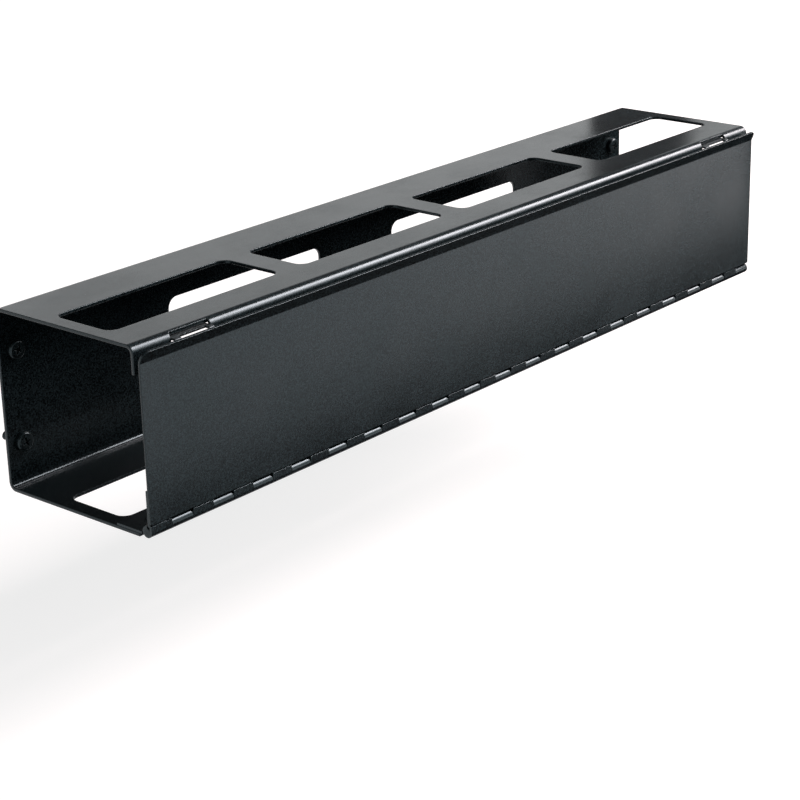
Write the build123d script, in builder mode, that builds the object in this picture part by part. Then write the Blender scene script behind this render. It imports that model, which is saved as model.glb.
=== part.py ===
from build123d import *
import os

# Hinged horizontal cable manager, two rack units high, for a 19 inch rack. Millimetres, Z up.
# X runs along the manager, the door faces -Y, and the back wall's rear face lies at Y = 0.
# The origin is the centre of the four rack screws, on that rear face.

# Driving dimensions of the channel
length = 482.6
height = 88.1
depth = 90.4
sheet_t = 1.5
bend_r = 4.0
lip_h = 13.0
flange_setback = 4.0

# Cut-outs shared by the top sheet and the bottom flange, and the back wall's openings
slot_count = 4
slot_end_strip = 7.5
slot_strip = 14.5
slot_w = 37.0
slot_from_axis = 22.6
slot_corner_r = 5.5
back_opening_l = 108.7
back_opening_h = 42.2
back_opening_from_middle = 28.4

# Piano hinge
stock_knuckle_pitch = 12.7
knuckle_gap = 0.3
pin_r = 1.59
pin_clearance = 0.04
leaf_t = 1.2
leaf_w = 19.3
curl_sweep = 270.0
step_slope = 0.5
lip_behind_axis = 0.9

# Door
door_t = 1.0
door_above_axis = 3.5
flare_start = 77.5
flare_h = 5.1
flare_out = 2.37
flare_bend_r = 1.5
door_corner_r = 3.5
bottom_corner_r = 1.0

# Latch tabs on the door, and the slots in the channel's front bend that take them
latch_from_end = 34.3
latch_slot_l = 24.0
latch_slot_below_top = 7.0
latch_slot_reach = 2.3
latch_slot_corner_r = 2.0
tab_l = 20.6
tab_t = 1.0
tab_low = 64.3
tab_top = 82.2
tab_reach = 5.4
tab_nose = 1.6
tab_bend_r = 1.6
tab_corner_r = 2.5

# Rack screws, size 10-32
rack_hole_from_end = 8.75
rack_spacing_z = 44.45
rack_hole_r = 3.55
screw_r = 2.4
screw_l = 12.7
head_r = 4.6
head_h = 2.9
head_edge = 1.0

# Places worked out from the sizes above
inner_bend_r = bend_r - sheet_t
top_z = height / 2
bottom_z = -height / 2
bore_r = pin_r + pin_clearance
barrel_r = bore_r + leaf_t
axis_y = -depth - lip_behind_axis
leaf_outer = door_t - barrel_r
leaf_inner = leaf_outer + leaf_t
axis_z = bottom_z + sheet_t - leaf_outer
knuckle_pairs = round(length / (2 * stock_knuckle_pitch))
knuckle_pitch = length / (2 * knuckle_pairs)
hinge_l = length - knuckle_gap
door_back = leaf_outer
door_front = -barrel_r
slot_l = (length - 2 * slot_end_strip - (slot_count - 1) * slot_strip) / slot_count
slot_pitch = slot_l + slot_strip
slot_y = axis_y + slot_from_axis + slot_w / 2
back_opening_x = back_opening_from_middle + back_opening_l / 2
latch_x = length / 2 - latch_from_end
rack_spacing_x = length - 2 * rack_hole_from_end

# Cross-section planes: through the middle of the channel, and with their origin on the hinge axis.
# In door_plane local x is +Y and local y is +Z. In floor_plane local x is +Z and local y is +Y.
hinge_axis_point = (0, axis_y, axis_z)
door_plane = Plane(origin=hinge_axis_point, x_dir=(0, 1, 0), z_dir=(1, 0, 0))
floor_plane = Plane(origin=hinge_axis_point, x_dir=(0, 0, 1), z_dir=(-1, 0, 0))

os.makedirs("parts", exist_ok=True)


# Channel body: one sheet bent into a top sheet with a turned-down front lip, a back wall and a
# bottom flange. Both ends are open.
with BuildPart() as channel_body:
    with BuildSketch(Plane.YZ) as channel_section:
        with Locations((-depth / 2, 0)):
            RectangleRounded(depth, height, bend_r)
            RectangleRounded(depth - 2 * sheet_t, height - 2 * sheet_t, inner_bend_r, mode=Mode.SUBTRACT)
        with Locations((-depth, top_z - lip_h)):
            Rectangle(2 * flange_setback, height, align=(Align.CENTER, Align.MAX), mode=Mode.SUBTRACT)
    extrude(amount=length / 2, both=True)

    # Four cable slots in the top sheet and the same four in the bottom flange
    with BuildSketch(Plane.XY) as cable_slots:
        with Locations((0, slot_y)):
            with GridLocations(slot_pitch, 0, slot_count, 1):
                RectangleRounded(slot_l, slot_w, slot_corner_r)
    extrude(amount=height, both=True, mode=Mode.SUBTRACT)

    # Two wide openings in the back wall, and the rack screws' clearance holes
    with BuildSketch(Plane.XZ) as back_openings:
        with GridLocations(2 * back_opening_x, 0, 2, 1):
            RectangleRounded(back_opening_l, back_opening_h, slot_corner_r)
        with GridLocations(rack_spacing_x, rack_spacing_z, 2, 2):
            Circle(rack_hole_r)
    extrude(amount=2 * sheet_t, both=True, mode=Mode.SUBTRACT)

    # Latch slots: each is cut through the lip and carried round the bend into the top sheet
    latch_slot_low = top_z - latch_slot_below_top
    latch_slot_high = top_z - bend_r
    with BuildSketch(Plane.XZ.offset(depth)) as latch_slots_in_lip:
        with Locations((0, (latch_slot_low + top_z) / 2)):
            with GridLocations(2 * latch_x, 0, 2, 1):
                RectangleRounded(latch_slot_l, latch_slot_below_top, latch_slot_corner_r)
    extrude(amount=-latch_slot_reach, mode=Mode.SUBTRACT)
    with BuildSketch(Plane.XY.offset(latch_slot_high)) as latch_slots_in_bend:
        with Locations((0, -depth)):
            with GridLocations(2 * latch_x, 0, 2, 1):
                RectangleRounded(latch_slot_l, 2 * latch_slot_reach, latch_slot_corner_r)
    extrude(amount=2 * bend_r, mode=Mode.SUBTRACT)
channel_body.part.label = "channel_body"
export_step(channel_body.part, "parts/channel_body.step")


def rolled_leaf_outline():
    """A hinge leaf's section: a flat leaf that steps out by the door's thickness, so that the door
    lies flush with the knuckles, and is then rolled round the pin."""
    step_t = leaf_t * (1 + step_slope**2) ** 0.5
    with BuildLine() as outline:
        Polyline(
            (leaf_outer, leaf_w),
            (leaf_outer, door_above_axis),
            (-barrel_r, door_above_axis - step_slope * door_t),
            (-barrel_r, 0),
        )
        outside = CenterArc((0, 0), barrel_r, 180, curl_sweep)
        inside = CenterArc((0, 0), bore_r, 180, curl_sweep)
        Line(outside @ 1, inside @ 1)
        Polyline(
            (-bore_r, 0),
            (-bore_r, door_above_axis + step_slope * (leaf_t - door_t) - step_t),
            (leaf_inner, door_above_axis + step_slope * leaf_t - step_t),
            (leaf_inner, leaf_w),
            (leaf_outer, leaf_w),
        )
    return outline.edges()


# The notches leave each leaf every second knuckle. They reach up to the door's lower edge.
notch_l = knuckle_pitch + knuckle_gap
notch_w = 2 * door_above_axis

# Body leaf: lies on the bottom flange and carries the knuckles at the right of each pair.
with BuildPart() as hinge_body_leaf:
    with BuildSketch(floor_plane) as body_leaf_section:
        make_face(rolled_leaf_outline())
    extrude(amount=hinge_l / 2, both=True)
    with Locations((-knuckle_pitch / 2, axis_y, axis_z)):
        with GridLocations(2 * knuckle_pitch, 0, knuckle_pairs, 1):
            Box(notch_l, notch_w, notch_w, mode=Mode.SUBTRACT)
hinge_body_leaf.part.label = "hinge_body_leaf"
export_step(hinge_body_leaf.part, "parts/hinge_body_leaf.step")

# Door leaf: stands behind the door and carries the knuckles at the left of each pair.
with BuildPart() as hinge_door_leaf:
    with BuildSketch(door_plane) as door_leaf_section:
        make_face(rolled_leaf_outline())
    extrude(amount=hinge_l / 2, both=True)
    with Locations((knuckle_pitch / 2, axis_y, axis_z)):
        with GridLocations(2 * knuckle_pitch, 0, knuckle_pairs, 1):
            Box(notch_l, notch_w, notch_w, mode=Mode.SUBTRACT)
hinge_door_leaf.part.label = "hinge_door_leaf"
export_step(hinge_door_leaf.part, "parts/hinge_door_leaf.step")

# Hinge pin: one wire through all the knuckles, staked in the body leaf's last ones.
with BuildPart() as hinge_pin:
    with BuildSketch(door_plane) as pin_section:
        Circle(pin_r)
    extrude(amount=hinge_l / 2, both=True)
hinge_pin.part.label = "hinge_pin"
export_step(hinge_pin.part, "parts/hinge_pin.step")


# Door panel: a flat sheet in front of the door leaf, whose top edge flares outwards as a finger grip.
flare_l = (flare_h**2 + flare_out**2) ** 0.5
flare_tip = (door_front - flare_out, flare_start + flare_h)
flare_tip_inside = (flare_tip[0] + door_t * flare_h / flare_l, flare_tip[1] + door_t * flare_out / flare_l)
flare_start_inside = flare_start + door_t * (flare_l - flare_h) / flare_out

with BuildPart() as door_panel:
    with BuildSketch(door_plane) as door_section:
        with BuildLine():
            outside = FilletPolyline(
                (door_front, door_above_axis), (door_front, flare_start), flare_tip, radius=flare_bend_r
            )
            inside = FilletPolyline(
                (door_back, door_above_axis),
                (door_back, flare_start_inside),
                flare_tip_inside,
                radius=flare_bend_r + door_t,
            )
            Line(outside @ 0, inside @ 0)
            Line(outside @ 1, inside @ 1)
        make_face()
    extrude(amount=length / 2, both=True)
    corners = door_panel.edges().filter_by(Axis.Y, tolerance=0.5).group_by(Axis.Z)
    fillet(corners[0], bottom_corner_r)
    tip_corners = door_panel.faces().sort_by(Axis.Z)[-1].edges().filter_by(GeomType.LINE)
    fillet(tip_corners.group_by(Axis.X)[0] + tip_corners.group_by(Axis.X)[-1], door_corner_r)
door_panel.part.label = "door_panel"
export_step(door_panel.part, "parts/door_panel.step")


# Latch tabs: a bent strip welded to the door's inside near each end. Its leg reaches back through
# the latch slot and springs against the underside of the top sheet; the nose leads it in.
nose_edge = tab_t * 2**-0.5
nose_corner = tab_t * (2**0.5 - 1)
tab_back = door_back + tab_t
nose_tip = (tab_reach + tab_nose, tab_top - tab_nose)

for side, tab_x in (("left", -latch_x), ("right", latch_x)):
    with BuildPart() as latch_tab:
        with BuildSketch(door_plane.offset(tab_x)) as tab_section:
            with BuildLine():
                over = FilletPolyline(
                    (door_back, tab_low),
                    (door_back, tab_top),
                    (tab_reach, tab_top),
                    nose_tip,
                    radius=tab_bend_r,
                )
                under = FilletPolyline(
                    (tab_back, tab_low),
                    (tab_back, tab_top - tab_t),
                    (tab_reach - nose_corner, tab_top - tab_t),
                    (nose_tip[0] - nose_edge, nose_tip[1] - nose_edge),
                    radius=tab_bend_r - tab_t,
                )
                Line(over @ 0, under @ 0)
                Line(over @ 1, under @ 1)
            make_face()
        extrude(amount=tab_l / 2, both=True)
        nose_corners = latch_tab.faces().sort_by(Axis.Y)[-1].edges()
        fillet(nose_corners.group_by(Axis.X)[0] + nose_corners.group_by(Axis.X)[-1], tab_corner_r)
    latch_tab.part.label = f"latch_tab_{side}"
    export_step(latch_tab.part, f"parts/latch_tab_{side}.step")


# Rack screws: the heads bear on the back wall inside the channel, the shanks pass through it.
for side, screw_x in (("left", -rack_spacing_x / 2), ("right", rack_spacing_x / 2)):
    for level, screw_z in (("lower", -rack_spacing_z / 2), ("upper", rack_spacing_z / 2)):
        with BuildPart() as rack_screw:
            with BuildSketch(Plane.XZ.offset(sheet_t)) as head_outline:
                with Locations((screw_x, screw_z)):
                    Circle(head_r)
            extrude(amount=head_h)
            chamfer(rack_screw.faces().sort_by(Axis.Y)[0].edges(), head_edge)
            with BuildSketch(Plane.XZ.offset(sheet_t)) as shank_outline:
                with Locations((screw_x, screw_z)):
                    Circle(screw_r)
            extrude(amount=-screw_l)
        rack_screw.part.label = f"rack_screw_{level}_{side}"
        export_step(rack_screw.part, f"parts/rack_screw_{level}_{side}.step")
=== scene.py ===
import math

import bmesh
import bpy
from mathutils import Matrix, Vector


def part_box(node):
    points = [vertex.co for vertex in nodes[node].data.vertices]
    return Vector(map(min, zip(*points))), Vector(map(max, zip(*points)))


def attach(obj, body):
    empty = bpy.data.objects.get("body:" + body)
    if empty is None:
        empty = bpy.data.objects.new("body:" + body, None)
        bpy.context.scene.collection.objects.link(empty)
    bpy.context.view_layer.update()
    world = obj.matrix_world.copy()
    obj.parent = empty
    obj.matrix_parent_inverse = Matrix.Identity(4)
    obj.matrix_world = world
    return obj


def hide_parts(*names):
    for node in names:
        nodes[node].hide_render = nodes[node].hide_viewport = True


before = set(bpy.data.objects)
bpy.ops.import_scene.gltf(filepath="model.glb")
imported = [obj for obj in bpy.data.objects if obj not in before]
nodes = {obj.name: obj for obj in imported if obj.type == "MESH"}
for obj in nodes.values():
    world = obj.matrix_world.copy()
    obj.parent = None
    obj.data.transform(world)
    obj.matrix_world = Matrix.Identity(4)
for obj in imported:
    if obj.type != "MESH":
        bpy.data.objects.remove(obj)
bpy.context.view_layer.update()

# Channel body. One 1.5 mm steel sheet, punched flat, bent into a top, a back wall and a bottom
# flange, then dipped in black electrocoat, which dries to a satin film with a very fine grain.
# The film thins on the punched edges. Their lighter colour is partly that wear and partly a painted highlight along
# the edges.

MM = 0.001
black_film = (0.0074, 0.0124, 0.0142, 1)
# Lighter edge colour: partly worn thin film, partly a painted highlight on the edges.
thin_film_and_painted_edge_highlight = (0.045, 0.05, 0.054, 1)
dust_colour = (0.42, 0.43, 0.43, 1)
film_tint = (0.7, 0.91, 1.0, 1)


def add_node(tree, kind, inputs=None, **settings):
    """A shader node with its settings, and its input sockets set or linked by name or number."""
    node = tree.nodes.new(kind)
    for name, value in settings.items():
        setattr(node, name, value)
    for name, value in (inputs or {}).items():
        if isinstance(value, bpy.types.NodeSocket):
            tree.links.new(value, node.inputs[name])
        else:
            node.inputs[name].default_value = value
    return node


def ramp_between(tree, value, low, high, to_low=0.0, to_high=1.0):
    """The value mapped from low..high to to_low..to_high, and held at the ends."""
    mapped = add_node(tree, "ShaderNodeMapRange", {
        "Value": value, "From Min": low, "From Max": high, "To Min": to_low, "To Max": to_high,
    })
    return mapped.outputs["Result"]


def satin_film(name, roughness, grain, wear_and_edge_highlight, edge_radius, speck_cell=19, film_ior=1.42, colour=black_film):
    """Black electrocoat on steel: fine grain, cloudy gloss, a lighter edge colour that is partly thin film and partly
    painted highlight, a few dust specks.
    """
    material = bpy.data.materials.new(name)
    material.use_nodes = True
    tree = material.node_tree
    shader = tree.nodes["Principled BSDF"]
    place = add_node(tree, "ShaderNodeTexCoord").outputs["Object"]

    # Gloss drifts in soft clouds a few centimetres wide, with faint handling smears in them.
    clouds = add_node(tree, "ShaderNodeTexNoise", {"Vector": place, "Scale": 28, "Detail": 3, "Roughness": 0.55})
    smears_place = add_node(tree, "ShaderNodeMapping", {"Vector": place, "Scale": (0.5, 1, 2.2)})
    smears = add_node(tree, "ShaderNodeTexNoise", {
        "Vector": smears_place.outputs["Vector"], "Scale": 160, "Detail": 4, "Roughness": 0.65,
    })
    cloudy = ramp_between(tree, clouds.outputs["Fac"], 0.35, 0.65, roughness - 0.03, roughness + 0.035)
    smeared = ramp_between(tree, smears.outputs["Fac"], 0.45, 0.75, 0.0, 0.03)
    gloss = add_node(tree, "ShaderNodeMath", {0: cloudy, 1: smeared}, operation="ADD")

    # Film grain: fine bumps about a third of a millimetre apart over longer, lower waves.
    fine_grain = add_node(tree, "ShaderNodeTexNoise", {"Vector": place, "Scale": 2600, "Detail": 2, "Roughness": 0.6})
    long_grain = add_node(tree, "ShaderNodeTexNoise", {"Vector": place, "Scale": 420, "Detail": 2, "Roughness": 0.5})
    rounded_edge = add_node(tree, "ShaderNodeBevel", {"Radius": edge_radius}, samples=8)
    long_bump = add_node(tree, "ShaderNodeBump", {
        "Height": long_grain.outputs["Fac"], "Strength": grain * 0.35, "Distance": 0.2 * MM,
        "Normal": rounded_edge.outputs["Normal"],
    })
    fine_bump = add_node(tree, "ShaderNodeBump", {
        "Height": fine_grain.outputs["Fac"], "Strength": grain, "Distance": 0.05 * MM,
        "Normal": long_bump.outputs["Normal"],
    })

    # The edge mask is where the rounded normal leaves the flat one, broken up by the smears; the lighter colour it
    # mixes in is partly edge wear and partly a painted highlight.
    flat_normal = add_node(tree, "ShaderNodeNewGeometry").outputs["Normal"]
    agreement = add_node(tree, "ShaderNodeVectorMath", {
        0: rounded_edge.outputs["Normal"], 1: flat_normal,
    }, operation="DOT_PRODUCT")
    edge = ramp_between(tree, agreement.outputs["Value"], 0.99, 0.86)
    broken = ramp_between(tree, smears.outputs["Fac"], 0.3, 0.6)
    edge_wear_and_highlight = add_node(tree, "ShaderNodeMath", {0: edge, 1: broken}, operation="MULTIPLY")
    edge_wear_and_highlight_amount = add_node(tree, "ShaderNodeMath", {0: edge_wear_and_highlight.outputs[0], 1: wear_and_edge_highlight}, operation="MULTIPLY")

    # Dust: one speck in some of the cells, each of its own size.
    cells = add_node(tree, "ShaderNodeTexVoronoi", {"Vector": place, "Scale": 1000 / speck_cell})
    speck_size = ramp_between(tree, cells.outputs["Color"], 0.5, 1.0, 0.0, 0.024)
    is_speck = add_node(tree, "ShaderNodeMath", {0: cells.outputs["Distance"], 1: speck_size}, operation="LESS_THAN")
    speck_amount = add_node(tree, "ShaderNodeMath", {0: is_speck.outputs[0], 1: 0.55}, operation="MULTIPLY")

    # The film's tone: slow clouds, and a close mottle where the coat lies thicker on the steel's tooth.
    film_tone = ramp_between(tree, clouds.outputs["Fac"], 0.3, 0.7, 0.9, 1.12)
    mottle = add_node(tree, "ShaderNodeTexNoise", {"Vector": place, "Scale": 1150, "Detail": 3, "Roughness": 0.7})
    mottle_tone = ramp_between(tree, mottle.outputs["Fac"], 0.4, 0.62, 0.1, 2.3)
    whole_tone = add_node(tree, "ShaderNodeMath", {0: film_tone, 1: mottle_tone}, operation="MULTIPLY")
    film = add_node(tree, "ShaderNodeVectorMath", {0: colour[:3], 3: whole_tone.outputs[0]}, operation="SCALE")
    # Mixes in the lighter edge colour, which is partly wear and partly a painted highlight.
    edge_wear_and_highlight_mix = add_node(tree, "ShaderNodeMix", {
        0: edge_wear_and_highlight_amount.outputs[0], 6: film.outputs["Vector"], 7: thin_film_and_painted_edge_highlight,
    }, data_type="RGBA")
    speck_mix = add_node(tree, "ShaderNodeMix", {
        0: speck_amount.outputs[0], 6: edge_wear_and_highlight_mix.outputs[2], 7: dust_colour,
    }, data_type="RGBA")

    tree.links.new(speck_mix.outputs[2], shader.inputs["Base Color"])
    tree.links.new(gloss.outputs[0], shader.inputs["Roughness"])
    tree.links.new(fine_bump.outputs["Normal"], shader.inputs["Normal"])
    shader.inputs["IOR"].default_value = film_ior
    shader.inputs["Specular Tint"].default_value = film_tint
    return material


def finish_node(name, material):
    """Gives a CAD node its finish."""
    mesh = nodes[name].data
    mesh.materials.clear()
    mesh.materials.append(material)


finish_node("channel_body", satin_film("channel_paint", roughness=0.22, grain=0.10, wear_and_edge_highlight=0.5, edge_radius=0.7 * MM))

# Piano hinge. Two thin steel leaves whose notched edges are rolled into knuckles that interleave on
# one wire; spot-welded to the bottom flange and to the door before the coating, so all is black.
hinge_paint = satin_film(
    "hinge_paint", roughness=0.22, grain=0.08, wear_and_edge_highlight=0.3, edge_radius=0.15 * MM, speck_cell=31, film_ior=1.5,
)
pin_steel = satin_film("pin_steel", roughness=0.28, grain=0.05, wear_and_edge_highlight=0.8, edge_radius=0.2 * MM, speck_cell=40)
finish_node("hinge_body_leaf", hinge_paint)
finish_node("hinge_door_leaf", hinge_paint)
finish_node("hinge_pin", pin_steel)

# Door panel. A flat 1.0 mm steel sheet with its top edge flared outwards as a finger grip, coated
# with the rest. Being handled, it has smears, the same as every other part.
door_paint = satin_film("door_paint", roughness=0.24, grain=0.12, wear_and_edge_highlight=0.2, edge_radius=0.4 * MM, speck_cell=17)
finish_node("door_panel", door_paint)

# Spot welds. Each hinge leaf is held by a row of resistance welds, made before the coating; the
# electrodes leave shallow round dimples with a raised rim, one every 38.1 mm, three steps of the hinge.
weld_pitch = 38.1 * MM
weld_profile = ((0.0, 0.02), (1.1, 0.03), (1.9, 0.05), (2.3, 0.11), (2.7, 0.10), (3.0, 0.0))
weld_sides = 24
welds_each_side = 6


def weld_row(name, body, middle, up, side):
    """A row of weld dimples along X, with the middle one at a point of the leaf's face, whose way out is up."""
    along = Vector((1, 0, 0))
    bm = bmesh.new()
    for weld in range(-welds_each_side, welds_each_side + 1):
        centre = Vector(middle) + Vector((weld * weld_pitch, 0, 0))
        rings = []
        for radius, height in weld_profile[1:]:
            ring = []
            for turn in range(weld_sides):
                angle = math.tau * turn / weld_sides
                outward = along * math.cos(angle) + side * math.sin(angle)
                ring.append(bm.verts.new(centre + up * (height * MM) + radius * MM * outward))
            rings.append(ring)
        hub = bm.verts.new(centre + up * (weld_profile[0][1] * MM))
        for turn in range(weld_sides):
            after = (turn + 1) % weld_sides
            bm.faces.new((hub, rings[0][turn], rings[0][after]))
            for inner, outer in zip(rings, rings[1:]):
                bm.faces.new((inner[turn], outer[turn], outer[after], inner[after]))
    bmesh.ops.recalc_face_normals(bm, faces=bm.faces)
    if bm.faces[0].normal.dot(up) < 0:
        bmesh.ops.reverse_faces(bm, faces=bm.faces)
    for face in bm.faces:
        face.smooth = True
    mesh = bpy.data.meshes.new(name)
    bm.to_mesh(mesh)
    bm.free()
    mesh.materials.append(hinge_paint)
    row = bpy.data.objects.new(name, mesh)
    bpy.context.scene.collection.objects.link(row)
    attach(row, body)


weld_row("weld_dimples_body_leaf", "channel", (0, -80.5 * MM, -41.35 * MM), Vector((0, 0, 1)), Vector((0, 1, 0)))
weld_row("weld_dimples_door_leaf", "door", (0, -91.93 * MM, -29.5 * MM), Vector((0, 1, 0)), Vector((0, 0, 1)))

# Latch tabs. Two bent strips of 1 mm steel welded inside the door; their legs reach through the latch
# slots and snap under the top sheet. A window punched across the bend lets the leg spring. Each
# strip is wider than the solid it stands for, by tab_spread at each end, and clears its slot.
tab_film = (0.03, 0.038, 0.041, 1)
tab_paint = satin_film(
    "tab_paint", roughness=0.26, grain=0.2, wear_and_edge_highlight=0.6, edge_radius=0.3 * MM, speck_cell=37, colour=tab_film,
)
tab_thickness = 1.0 * MM
tab_bend = 1.1 * MM
tab_nose_drop = 1.45 * MM
tab_corner = 0.9 * MM
tab_spread = 1.45 * MM
window_left, window_right = -8.0 * MM, 8.8 * MM
window_foot = 3.2 * MM
window_reach = 1.5 * MM
window_rows = range(1, 9)
window_column = 1
bend_steps = 6


def latch_tab(name, node):
    """One latch tab: a bent strip along its middle surface, thickened both ways."""
    low, high = (Vector(corner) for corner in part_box(node))
    half_width = (high.x - low.x) / 2 + tab_spread
    middle_x = (high.x + low.x) / 2
    face_y = low.y + tab_thickness / 2
    top_z = high.z - tab_thickness / 2
    tip_y = high.y - 0.35 * MM
    turn_y, turn_z = face_y + tab_bend, top_z - tab_bend
    rows = [(face_y, low.z, half_width), (face_y, turn_z - window_foot, half_width), (face_y, turn_z, half_width)]
    for step in range(1, bend_steps + 1):
        angle = math.radians(180 - 90 / bend_steps * step)
        rows.append((turn_y + tab_bend * math.cos(angle), turn_z + tab_bend * math.sin(angle), half_width))
    rows.append((turn_y + window_reach, top_z, half_width))
    nose_y = tip_y - tab_nose_drop
    rows.append((nose_y - 0.5 * MM, top_z, half_width))
    rows.append((nose_y + 0.05 * MM, top_z - 0.14 * MM, half_width))
    nose_length = tab_nose_drop * 2 ** 0.5
    for step in range(7):
        angle = math.radians(15 * step)
        along = (nose_length - tab_corner + tab_corner * math.sin(angle)) / nose_length * tab_nose_drop
        rows.append((nose_y + along, top_z - along, half_width - tab_corner * (1 - math.cos(angle))))
    bm = bmesh.new()
    grid = [
        [bm.verts.new((middle_x + x, y, z)) for x in (-half, window_left, window_right, half)] for y, z, half in rows
    ]
    for row, (under, over) in enumerate(zip(grid, grid[1:])):
        for column in range(3):
            if column == window_column and row in window_rows:
                continue
            face = bm.faces.new((under[column], over[column], over[column + 1], under[column + 1]))
            face.smooth = True
    mesh = bpy.data.meshes.new(name)
    bm.to_mesh(mesh)
    bm.free()
    mesh.materials.append(tab_paint)
    tab = bpy.data.objects.new(name, mesh)
    bpy.context.scene.collection.objects.link(tab)
    thicken = tab.modifiers.new("sheet", "SOLIDIFY")
    thicken.thickness = tab_thickness
    thicken.offset = 0
    thicken.use_even_offset = True
    rounded = tab.modifiers.new("punched_edge", "BEVEL")
    rounded.width = 0.12 * MM
    rounded.segments = 2
    rounded.limit_method = "ANGLE"
    rounded.angle_limit = math.radians(50)
    tab.modifiers.new("flat_faces", "WEIGHTED_NORMAL")
    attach(tab, "door")
    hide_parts(node)


latch_tab("latch_strip_left", "latch_tab_left")
latch_tab("latch_strip_right", "latch_tab_right")

# Rack screws. Four 10-32 pan head machine screws with a cross recess, headed and thread-rolled from
# steel wire, black oxide finish; they hold the channel's back wall on the rack rails.
screw_finish = satin_film("screw_black", roughness=0.28, grain=0.05, wear_and_edge_highlight=0.9, edge_radius=0.2 * MM, speck_cell=43)
head_radius = 4.6 * MM
head_height = 2.9 * MM
head_round = 1.3 * MM
shank_radius = 2.4 * MM
root_radius = 1.98 * MM
shank_length = 12.7 * MM
thread_pitch = 25.4 / 32 * MM
screw_sides = 40
thread_sides = 16
recess_reach = 2.3 * MM
recess_half = 0.52 * MM
recess_depth = 1.7 * MM


def lathe(bm, outline, sides, place):
    """A closed turned form along Y from (radius, y) points round a place. A radius may depend on angle and y."""
    rings = []
    for outline_radius, y in outline:
        ring = []
        for turn in range(sides):
            angle = math.tau * turn / sides
            radius = outline_radius(angle, y) if callable(outline_radius) else outline_radius
            ring.append(bm.verts.new(place + Vector((radius * math.cos(angle), y, radius * math.sin(angle)))))
        rings.append(ring)
    for near, far in zip(rings, rings[1:]):
        for turn in range(sides):
            after = (turn + 1) % sides
            bm.faces.new((near[turn], near[after], far[after], far[turn])).smooth = True
    bm.faces.new(list(reversed(rings[0])))
    bm.faces.new(rings[-1])


def thread_radius(angle, y):
    """The thread's radius: a ridge that climbs one pitch in a turn."""
    phase = (y / thread_pitch - angle / math.tau) % 1
    return root_radius + (shank_radius - root_radius) * (1 - abs(2 * phase - 1))


def rack_screw(name, node):
    """One pan head screw at a CAD screw's place, its head on the front of the back wall."""
    low, high = (Vector(corner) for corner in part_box(node))
    seat = Vector(((low.x + high.x) / 2, low.y + head_height, (low.z + high.z) / 2))
    head = bmesh.new()
    outline = [(0.9 * MM, -head_height), (2.4 * MM, -head_height + 0.06 * MM)]
    for step in range(7):
        angle = math.radians(15 * step)
        outline.append((
            head_radius - head_round + head_round * math.sin(angle),
            -head_height + 0.16 * MM + head_round * (1 - math.cos(angle)),
        ))
    outline += [(head_radius, -0.25 * MM), (head_radius - 0.2 * MM, 0.0)]
    lathe(head, outline, screw_sides, seat)
    head_mesh = bpy.data.meshes.new(name)
    head.to_mesh(head_mesh)
    head.free()
    screw = bpy.data.objects.new(name, head_mesh)
    bpy.context.scene.collection.objects.link(screw)

    # The recess is cut with a tapered cross, turned a little differently on each screw.
    cross = bmesh.new()
    tilt = Matrix.Rotation(seat.x * 40 + seat.z * 90, 4, "Y")
    a, b = recess_half, recess_reach
    corners = (
        (a, b), (-a, b), (-a, a), (-b, a), (-b, -a), (-a, -a),
        (-a, -b), (a, -b), (a, -a), (b, -a), (b, a), (a, a),
    )
    layers = []
    for y, size in ((-head_height - 0.3 * MM, 1.06), (-head_height + recess_depth, 0.62)):
        layers.append([cross.verts.new(seat + tilt @ Vector((x * size, y, z * size))) for x, z in corners])
    for corner in range(len(corners)):
        after = (corner + 1) % len(corners)
        cross.faces.new((layers[0][corner], layers[0][after], layers[1][after], layers[1][corner]))
    cross.faces.new(layers[0])
    cross.faces.new(layers[1])
    bmesh.ops.recalc_face_normals(cross, faces=cross.faces)
    cross_mesh = bpy.data.meshes.new("recess_cutter")
    cross.to_mesh(cross_mesh)
    cross.free()
    cutter = bpy.data.objects.new("recess_cutter", cross_mesh)
    bpy.context.scene.collection.objects.link(cutter)
    cut = screw.modifiers.new("recess", "BOOLEAN")
    cut.operation = "DIFFERENCE"
    cut.solver = "EXACT"
    cut.object = cutter
    graph = bpy.context.evaluated_depsgraph_get()
    mesh = bpy.data.meshes.new_from_object(screw.evaluated_get(graph))
    screw.modifiers.clear()
    bpy.data.objects.remove(cutter)

    whole = bmesh.new()
    whole.from_mesh(mesh)
    rows = round(shank_length / thread_pitch * 4)
    shank = [(root_radius, -0.3 * MM)]
    shank += [(thread_radius, shank_length * row / rows) for row in range(1, rows - 2)]
    shank += [(root_radius * 0.97, shank_length - 0.35 * MM), (root_radius * 0.8, shank_length)]
    lathe(whole, shank, thread_sides, seat)
    bmesh.ops.recalc_face_normals(whole, faces=whole.faces)
    whole.to_mesh(mesh)
    whole.free()
    mesh.materials.clear()
    mesh.materials.append(screw_finish)
    screw.data = mesh
    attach(screw, "channel")
    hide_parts(node)


rack_screw("pan_screw_lower_left", "rack_screw_lower_left")
rack_screw("pan_screw_lower_right", "rack_screw_lower_right")
rack_screw("pan_screw_upper_left", "rack_screw_upper_left")
rack_screw("pan_screw_upper_right", "rack_screw_upper_right")

# Floor. A pale matt sheet well below the manager, so that the open door can hang freely. It shows
# as white to the camera and in reflections, and keeps the shadow.
floor_z = -0.13
floor_size = 14.0
floor_mesh = bpy.data.meshes.new("floor")
half = floor_size / 2
floor_mesh.from_pydata(
    [(-half, -half, floor_z), (half, -half, floor_z), (half, half, floor_z), (-half, half, floor_z)],
    [], [(0, 1, 2, 3)],
)
floor = bpy.data.objects.new("floor", floor_mesh)
bpy.context.scene.collection.objects.link(floor)

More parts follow.
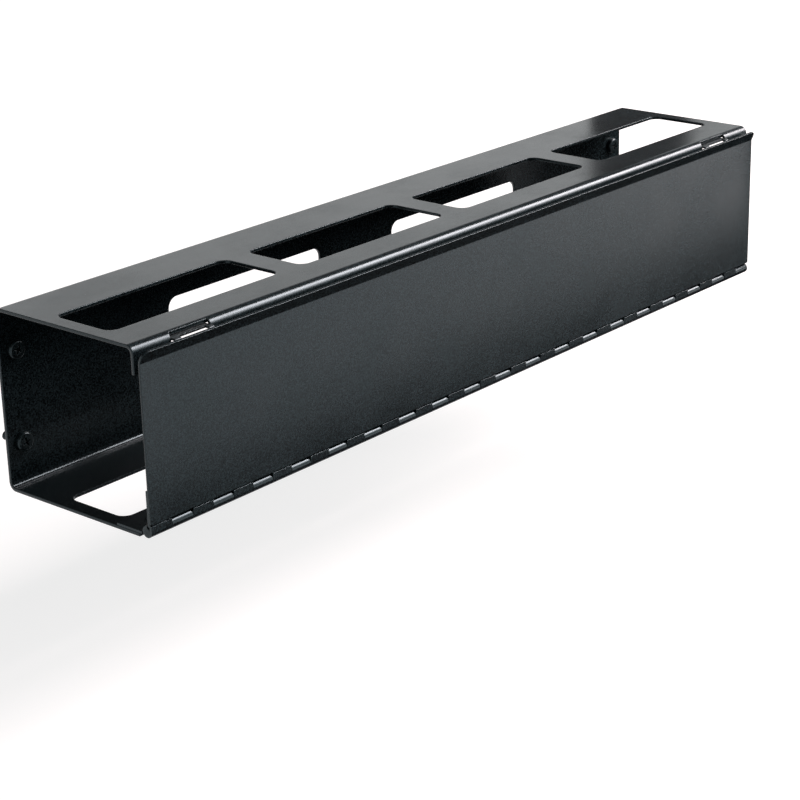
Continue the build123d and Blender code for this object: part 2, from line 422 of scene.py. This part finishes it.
floor_colour = (0.35, 0.35, 0.35, 1)
floor_white = 0.78
floor_material = bpy.data.materials.new("floor_white")
floor_material.use_nodes = True
floor_tree = floor_material.node_tree
floor_shader = floor_tree.nodes["Principled BSDF"]
floor_shader.inputs["Base Color"].default_value = floor_colour
floor_shader.inputs["Roughness"].default_value = 0.9
floor_shader.inputs["Emission Color"].default_value = (1, 1, 1, 1)
floor_path = add_node(floor_tree, "ShaderNodeLightPath")
seen = add_node(floor_tree, "ShaderNodeMath", {
    0: floor_path.outputs["Is Camera Ray"], 1: floor_path.outputs["Is Glossy Ray"],
}, operation="ADD")
seen_through = add_node(floor_tree, "ShaderNodeMath", {
    0: seen.outputs[0], 1: floor_path.outputs["Is Transmission Ray"],
}, operation="ADD", use_clamp=True)
floor_glow = add_node(floor_tree, "ShaderNodeMath", {0: seen_through.outputs[0], 1: floor_white}, operation="MULTIPLY")
floor_tree.links.new(floor_glow.outputs[0], floor_shader.inputs["Emission Strength"])
floor_mesh.materials.append(floor_material)

# Flags. Three black cards, as studios use: one lies under the front, two stand at the right end.
# They give the flared grip, the door's foot and the far end something dark to mirror, and only
# reflections see them.
flag_z = floor_z + 0.001
flag_outlines = {
    "floor_flag": [(-0.35, -0.27, flag_z), (0.9, -0.33, flag_z), (0.9, -0.075, flag_z), (-0.35, -0.075, flag_z)],
    "side_flag": [(0.3, -0.13, floor_z), (0.3, 0.03, floor_z), (0.3, 0.03, 0.05), (0.3, -0.13, 0.05)],
    "end_flag": [(0.353, 0.1, floor_z), (0.48, 0.1, floor_z), (0.48, 0.1, 0.6), (0.353, 0.1, 0.6)],
}
flag_black = bpy.data.materials.new("flag_black")
flag_black.use_nodes = True
flag_black.node_tree.nodes["Principled BSDF"].inputs["Base Color"].default_value = (0.01, 0.01, 0.01, 1)
flag_black.node_tree.nodes["Principled BSDF"].inputs["Roughness"].default_value = 1.0
for name, corners in flag_outlines.items():
    flag_mesh = bpy.data.meshes.new(name)
    flag_mesh.from_pydata(corners, [], [(0, 1, 2, 3)])
    flag_mesh.materials.append(flag_black)
    flag = bpy.data.objects.new(name, flag_mesh)
    bpy.context.scene.collection.objects.link(flag)
    flag.visible_camera = False
    flag.visible_diffuse = False
    flag.visible_transmission = False
    flag.visible_shadow = False

# Light. The room is white round the horizon and dim overhead. Three long softboxes curve over the
# manager at its right, the lowest dimmest, and draw the bright lines along the bends and knuckles.
world = bpy.data.worlds.new("studio")
bpy.context.scene.world = world
world.use_nodes = True
world_tree = world.node_tree
world_tree.nodes.clear()
room_level = 0.15
overhead_level = 0.12
white_up_to = 0.37
dim_from = 0.47
world_path = add_node(world_tree, "ShaderNodeLightPath")
world_seen = add_node(world_tree, "ShaderNodeMath", {
    0: world_path.outputs["Is Camera Ray"], 1: world_path.outputs["Is Glossy Ray"],
}, operation="ADD")
world_through = add_node(world_tree, "ShaderNodeMath", {
    0: world_seen.outputs[0], 1: world_path.outputs["Is Transmission Ray"],
}, operation="ADD", use_clamp=True)
sky = add_node(world_tree, "ShaderNodeTexCoord").outputs["Generated"]
sky_parts = add_node(world_tree, "ShaderNodeSeparateXYZ", {0: sky})
seen_level = ramp_between(world_tree, sky_parts.outputs["Z"], white_up_to, dim_from, 1.0, overhead_level)
room_light = add_node(world_tree, "ShaderNodeBackground", {"Color": (1, 1, 1, 1), "Strength": room_level})
white_room = add_node(world_tree, "ShaderNodeBackground", {"Color": (1, 1, 1, 1), "Strength": seen_level})
room_mix = add_node(world_tree, "ShaderNodeMixShader", {
    0: world_through.outputs[0], 1: room_light.outputs[0], 2: white_room.outputs[0],
})
room_output = add_node(world_tree, "ShaderNodeOutputWorld", {"Surface": room_mix.outputs[0]})


def soft_lamp(name, place, facing, length, width, radiance):
    """A rectangular lamp with its length along X, at a place and facing a point; radiance 1 is white."""
    data = bpy.data.lights.new(name, "AREA")
    data.shape = "RECTANGLE"
    data.size, data.size_y = length, width
    data.energy = radiance * math.pi * length * width
    data.color = lamp_colour
    lamp = bpy.data.objects.new(name, data)
    bpy.context.scene.collection.objects.link(lamp)
    back = (Vector(place) - Vector(facing)).normalized()
    across = back.cross(Vector((1, 0, 0))).normalized()
    lamp.matrix_world = Matrix.Translation(place) @ Matrix(((1, 0, 0), across, back)).transposed().to_4x4()
    return lamp


# The arc is round the manager's length: its angles go up from the horizon in front.
arc_radius = 1.6
arc_middle_x = 1.82
arc_length = 1.85
arc_step = 14.5
arc_radiance = 23.0
lamp_colour = (1.0, 0.86, 0.85)
arc_strips = ((35, 0.4), (49.5, 1.0), (64, 1.1))
for strip, (angle, share) in enumerate(arc_strips):
    outward = Vector((0, -math.cos(math.radians(angle)), math.sin(math.radians(angle))))
    place = outward * arc_radius + Vector((arc_middle_x, 0, 0))
    strip_width = arc_radius * math.radians(arc_step)
    soft_lamp(f"arc_lamp_{strip + 1}", place, (arc_middle_x, 0, 0), arc_length, strip_width, arc_radiance * share)

# Camera, at the photograph's viewing angle.
photo_size = 800
focal_px = 2143
camera_data = bpy.data.cameras.new("camera")
camera_data.sensor_width = 36
camera_data.lens = camera_data.sensor_width * focal_px / photo_size
camera = bpy.data.objects.new("camera", camera_data)
bpy.context.scene.collection.objects.link(camera)
camera.location = (-0.81063, -0.73014, 0.33387)
aim = Vector((-0.01849, -0.045, -0.05693))
roll = math.radians(-1.476)
looking = (aim - camera.location).to_track_quat("-Z", "Y").to_matrix()
camera.rotation_euler = (looking @ Matrix.Rotation(roll, 3, "Z")).to_euler()
bpy.context.scene.camera = camera
bpy.context.scene.view_settings.view_transform = "Standard"
